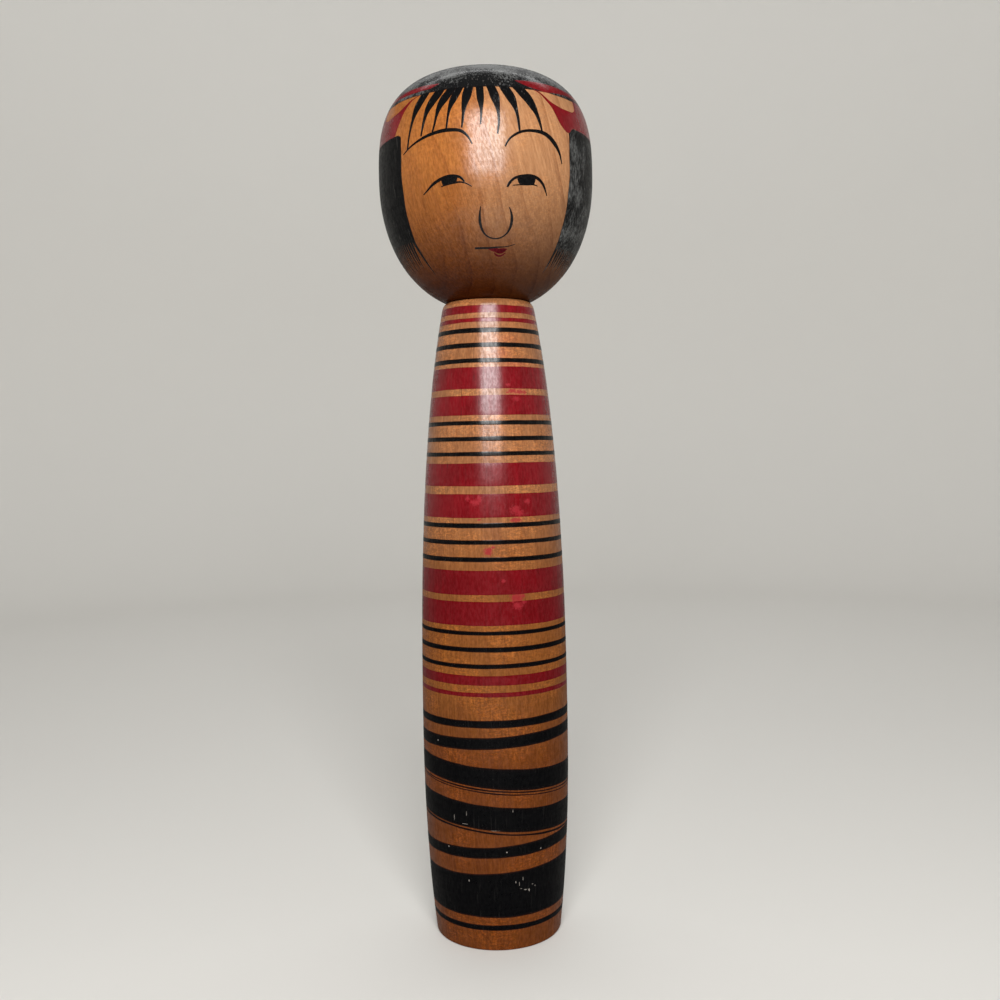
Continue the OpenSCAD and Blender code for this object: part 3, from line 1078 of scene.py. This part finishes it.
def add_light(name, power, width, height, place, back):
    """A rectangular light at a place, with its back turned to a direction."""
    light = bpy.data.lights.new(name, "AREA")
    light.shape = "RECTANGLE"
    light.size, light.size_y = width, height
    light.energy = power
    made = bpy.data.objects.new(name, light)
    made.location = place
    made.rotation_euler = back.to_track_quat("Z", "Y").to_euler()
    bpy.context.scene.collection.objects.link(made)


def add_camera(s):
    """The camera, turned by its yaw and pitch and then leaned about its line of sight."""
    lens = bpy.data.cameras.new("camera")
    lens.lens, lens.sensor_width = s.lens, SENSOR_WIDTH
    camera = bpy.data.objects.new("camera", lens)
    forward = Vector((
        math.sin(s.yaw) * math.cos(s.pitch),
        math.cos(s.yaw) * math.cos(s.pitch),
        -math.sin(s.pitch),
    ))
    right = forward.cross(Vector((0, 0, 1))).normalized()
    up = right.cross(forward)
    leaned_right = math.cos(s.roll) * right + math.sin(s.roll) * up
    leaned_up = math.cos(s.roll) * up - math.sin(s.roll) * right
    turn = Matrix((leaned_right, leaned_up, -forward)).transposed()
    camera.matrix_world = Matrix.Translation(Vector(s.camera)) @ turn.to_4x4()
    bpy.context.scene.collection.objects.link(camera)
    bpy.context.scene.camera = camera


# ---------------------------------------------------------------- operators


class DOLL_OT_body(Operator):
    """Turns the body with its socket. The profile runs from the middle of the base out to the foot,
    up the side, over the rim and down into the socket, and each point of it goes round the axis."""

    bl_idname = "doll.body"
    bl_label = "Turn the body"

    def execute(self, context):
        b = context.scene.doll_body
        quarter = np.linspace(0, np.pi / 2, 9)
        foot = body_radius(np.float64(b.foot_round))
        base = [(x, 0.0) for x in np.linspace(0.25, 0.99, 4) * (foot - b.foot_round)]
        base += [
            (foot - b.foot_round * (1 - np.sin(q)), b.foot_round * (1 - np.cos(q))) for q in quarter
        ]
        heights = np.linspace(b.foot_round, b.height - b.rim_height, 232)[1:-1]
        side = list(zip(body_radius(heights), heights))
        rim_base = b.height - b.rim_height
        rim = []
        for q in quarter:
            height = rim_base + b.rim_height * np.sin(q)
            rim.append((body_radius(height) - b.rim_width * (1 - np.cos(q)), height))
        top = b.height
        inside = [(x, top) for x in np.linspace(b.flat_radius, b.mouth_radius, 5)]
        inside += [
            (b.mouth_radius, top - b.mouth_depth / 2), (b.mouth_radius, top - b.mouth_depth),
            (b.chamber_radius, top - b.mouth_depth), (b.chamber_radius, top - b.socket_depth),
            (b.chamber_radius / 2, top - b.socket_depth),
        ]
        profile = np.array(base + side + rim + inside, float)
        azimuth = np.arange(b.segments) * 360 / b.segments
        rings = turned(profile[:, :1], profile[:, 1:], azimuth[None])
        stain = np.zeros(rings.shape[:2])
        around = (azimuth[None] + 180) % 360 - 180
        for place, height, reach, tall, strength in STAINS:
            up = (profile[:, 1:] / MM - height) / tall
            bell = np.exp(-(((around - place) / reach) ** 2) - up**2)
            stain = np.maximum(stain, strength * bell)
        shape = Shape()
        add_turning(shape, rings, [0, 0, 0], [0, 0, top - b.socket_depth], stain=stain)
        shape.make("turned_body", "body", "body_wood", body_wood_material(), "body")
        return {"FINISHED"}


class DOLL_OT_head(Operator):
    """Turns the head with its tenon. The profile runs from the tenon's tip up to the seat, out and
    round the cheeks and over the crown, and each point of it goes round the axis."""

    bl_idname = "doll.head"
    bl_label = "Turn the head"

    def execute(self, context):
        h = context.scene.doll_head
        seat = h.seat_height
        straight = seat - h.tenon_length
        tip = HEAD_LOW.z
        tenon = [
            (h.tenon_radius * 0.5, tip), (h.tenon_radius * 0.92, tip),
            (h.swell_radius, tip + h.swell_taper), (h.swell_radius, straight - h.swell_taper),
            (h.tenon_radius, straight), (h.tenon_radius, (seat + straight) / 2),
            (h.tenon_radius, seat), (h.seat_radius * 0.75, seat), (h.seat_radius * 0.985, seat),
        ]
        lowest = -math.degrees(math.atan2(h.cheek_height, h.seat_radius))
        latitude = np.concatenate([np.linspace(lowest, 60, 190), np.linspace(60, 89, 60)[1:]])
        radius, height = head_outline(latitude)
        profile = np.concatenate([tenon, np.stack([radius, height], -1)])
        azimuth = np.arange(h.segments) * 360 / h.segments
        rings = turned(profile[:, :1], profile[:, 1:], azimuth[None])
        shape = Shape()
        add_turning(shape, rings, [0, 0, tip], [0, 0, HEAD_HIGH.z])
        shape.make("turned_head", "head", "head_wood", head_wood_material(), "head")
        return {"FINISHED"}


class DOLL_OT_black_bands(Operator):
    """Paints the black bands of the body: level rings drawn on the lathe and broad leaning ones."""

    bl_idname = "doll.black_bands"
    bl_label = "Paint the black bands"

    def execute(self, context):
        film = context.scene.doll_paint.film
        shape = Shape()
        for seed, (low, high) in enumerate(LEVEL_BLACK):
            add_band(shape, low, 0, high, 0, film, 0.04, seed)
        for seed, (low, low_lean, high, high_lean) in enumerate(BRUSHED_BLACK):
            add_band(shape, low, low_lean, high, high_lean, film, 0.06, seed + 40)
        material = ink_material("body_ink", "body", BODY_CHIPS)
        shape.make("black_bands", "body", "ink", material)
        return {"FINISHED"}


class DOLL_OT_red_bands(Operator):
    """Paints the red bands of the body: level rings drawn on the lathe."""

    bl_idname = "doll.red_bands"
    bl_label = "Paint the red bands"

    def execute(self, context):
        paint = context.scene.doll_paint
        shape = Shape()
        for seed, (low, high) in enumerate(LEVEL_RED):
            add_band(shape, low, 0, high, 0, paint.film * 0.8, 0.05, seed + 20)
        material = red_material(
            "body_red", "body", paint.red, wear=0.1, gloss=0.72, deepening=0.6, spots=RED_SPOTS,
            scores=SCORES,
        )
        shape.make("red_bands", "body", "red_dye", material)
        return {"FINISHED"}


class DOLL_OT_hair(Operator):
    """Paints the hair: the cap, the fringe of nine pointed locks, and a lock at each side."""

    bl_idname = "doll.hair"
    bl_label = "Paint the hair"

    def execute(self, context):
        film = context.scene.doll_paint.film
        cap, fringe, locks = Shape(), Shape(), Shape()
        add_cap(cap, film)
        for seed, points in enumerate(FRINGE):
            height = film * (0.7 + 0.03 * seed)
            add_stroke(fringe, on_head, points, height, count=70, across=11, waver=0.03, seed=seed)
        add_lock(locks, film, **LEFT_LOCK)
        add_lock(locks, film, **RIGHT_LOCK)
        # The cap's grey towards the crown is partly wear and partly painted reflection.
        cap.make("hair_cap", "head", "ink", ink_material("cap_ink_with_sheen", "head"))
        fringe.make("hair_fringe", "head", "ink", ink_material("fringe_ink", "head"))
        locks.make("hair_side_locks", "head", "ink", ink_material("lock_ink", "head"))
        return {"FINISHED"}


class DOLL_OT_ornaments(Operator):
    """Paints the red ribbon round the hair, the leaf above each side lock, and the lip."""

    bl_idname = "doll.ornaments"
    bl_label = "Paint the red ornaments"

    def execute(self, context):
        paint = context.scene.doll_paint
        ribbon, leaves, lip = Shape(), Shape(), Shape()
        add_leaf(ribbon, *RIBBON, paint.film * 1.6, across=9, count=240)
        for (upper, lower), middle, step in (
            (RIGHT_LEAF, RIGHT_LEAF_MIDDLE, 1),
            (LEFT_LEAF, LEFT_LEAF_MIDDLE, -1),
        ):
            upper, lower = mirrored(upper, middle)[::step], mirrored(lower, middle)[::step]
            add_leaf(leaves, upper, lower, paint.film * 0.8)
        for seed, (upper, lower) in enumerate(LIP):
            add_leaf(lip, upper, lower, paint.film * (0.8 + 0.2 * seed), across=7, count=24)
        add_stroke(lip, on_head, LIP_CURL, paint.film * 0.7, count=40)
        material = red_material("ribbon_red", "head", paint.hair_red, wear=0.35, gloss=0.72)
        ribbon.make("hair_ribbon", "head", "red_dye", material)
        material = red_material("leaf_red", "head", paint.hair_red, wear=0.2, gloss=0.72)
        leaves.make("hair_leaves", "head", "red_dye", material)
        material = red_material("lip_red", "head", paint.lip, wear=0.0, gloss=0.15)
        lip.make("lip", "head", "red_dye", material)
        return {"FINISHED"}


class DOLL_OT_face(Operator):
    """Paints the face with brush lines: brows, eyes with their pupils, nose and mouth."""

    bl_idname = "doll.face"
    bl_label = "Paint the face"

    def execute(self, context):
        film = context.scene.doll_paint.film
        shape = Shape()
        for seed, points in enumerate((*BROWS, *EYES, NOSE, MOUTH)):
            height = film * (0.6 + 0.04 * seed)
            add_stroke(shape, on_head, points, height, count=90, waver=0.04, seed=seed)
        for upper, lower in PUPILS:
            upper, lower = smooth_path(upper, 24), smooth_path(lower, 24)
            add_film(shape, on_head, upper, lower, film * 0.5, bleed=LINE_BLEED)
        shape.make("face_lines", "head", "ink", ink_material("face_ink", "head"))
        return {"FINISHED"}


class DOLL_OT_stage(Operator):
    """Sets the floor with its backdrop, the lights and the camera."""

    bl_idname = "doll.stage"
    bl_label = "Set the stage"

    def execute(self, context):
        s = context.scene.doll_stage
        add_floor(s)
        away = Vector((
            math.sin(s.key_azimuth) * math.cos(s.key_elevation),
            -math.cos(s.key_azimuth) * math.cos(s.key_elevation),
            math.sin(s.key_elevation),
        ))
        key_place = LIGHT_AIM + away * s.key_distance
        add_light("key", s.key_power, s.key_width, s.key_height, key_place, away)
        add_light("wall_wash", s.wall_power, *WASH_SIZE, WASH_PLACE, WASH_BACK)
        add_light("rear", s.rear_power, *REAR_SIZE, REAR_PLACE, REAR_PLACE - LIGHT_AIM)
        world = bpy.data.worlds.new("sky")
        world.use_nodes = True
        background = world.node_tree.nodes["Background"]
        background.inputs["Color"].default_value = SKY_COLOUR
        background.inputs["Strength"].default_value = s.sky
        context.scene.world = world
        context.scene.view_settings.view_transform = "Standard"
        add_camera(s)
        return {"FINISHED"}


class DOLL_PT_panel(Panel):
    """Sizes and colours of the doll, and the steps that make it."""

    bl_idname = "DOLL_PT_panel"
    bl_label = "Banded doll"
    bl_space_type = "VIEW_3D"
    bl_region_type = "UI"
    bl_category = "Doll"

    def draw(self, context):
        scene = context.scene
        for group in (scene.doll_body, scene.doll_head, scene.doll_paint, scene.doll_stage):
            box = self.layout.box()
            for name in group.__annotations__:
                box.prop(group, name)
        for operator in OPERATORS:
            self.layout.operator(operator.bl_idname)


GROUPS = (DollBody, DollHead, DollPaint, DollStage)
OPERATORS = (
    DOLL_OT_stage,
    DOLL_OT_body,
    DOLL_OT_head,
    DOLL_OT_black_bands,
    DOLL_OT_red_bands,
    DOLL_OT_hair,
    DOLL_OT_ornaments,
    DOLL_OT_face,
)


def register():
    """Registers the classes and adds the sizes and colours to the scene."""
    for cls in (*GROUPS, *OPERATORS, DOLL_PT_panel):
        bpy.utils.register_class(cls)
    bpy.types.Scene.doll_body = PointerProperty(type=DollBody)
    bpy.types.Scene.doll_head = PointerProperty(type=DollHead)
    bpy.types.Scene.doll_paint = PointerProperty(type=DollPaint)
    bpy.types.Scene.doll_stage = PointerProperty(type=DollStage)


def unregister():
    """Takes it all away again."""
    for name in ("doll_body", "doll_head", "doll_paint", "doll_stage"):
        delattr(bpy.types.Scene, name)
    for cls in (DOLL_PT_panel, *reversed(OPERATORS), *reversed(GROUPS)):
        bpy.utils.unregister_class(cls)


def main():
    """Builds the doll on its stage."""
    register()
    for build in (build_wood_group, build_lathe_group, build_wear_group, build_chip_group):
        build()
    bpy.ops.doll.stage()
    bpy.ops.doll.body()
    bpy.ops.doll.head()
    bpy.ops.doll.black_bands()
    bpy.ops.doll.red_bands()
    bpy.ops.doll.hair()
    bpy.ops.doll.ornaments()
    bpy.ops.doll.face()


if __name__ == "__main__":
    main()
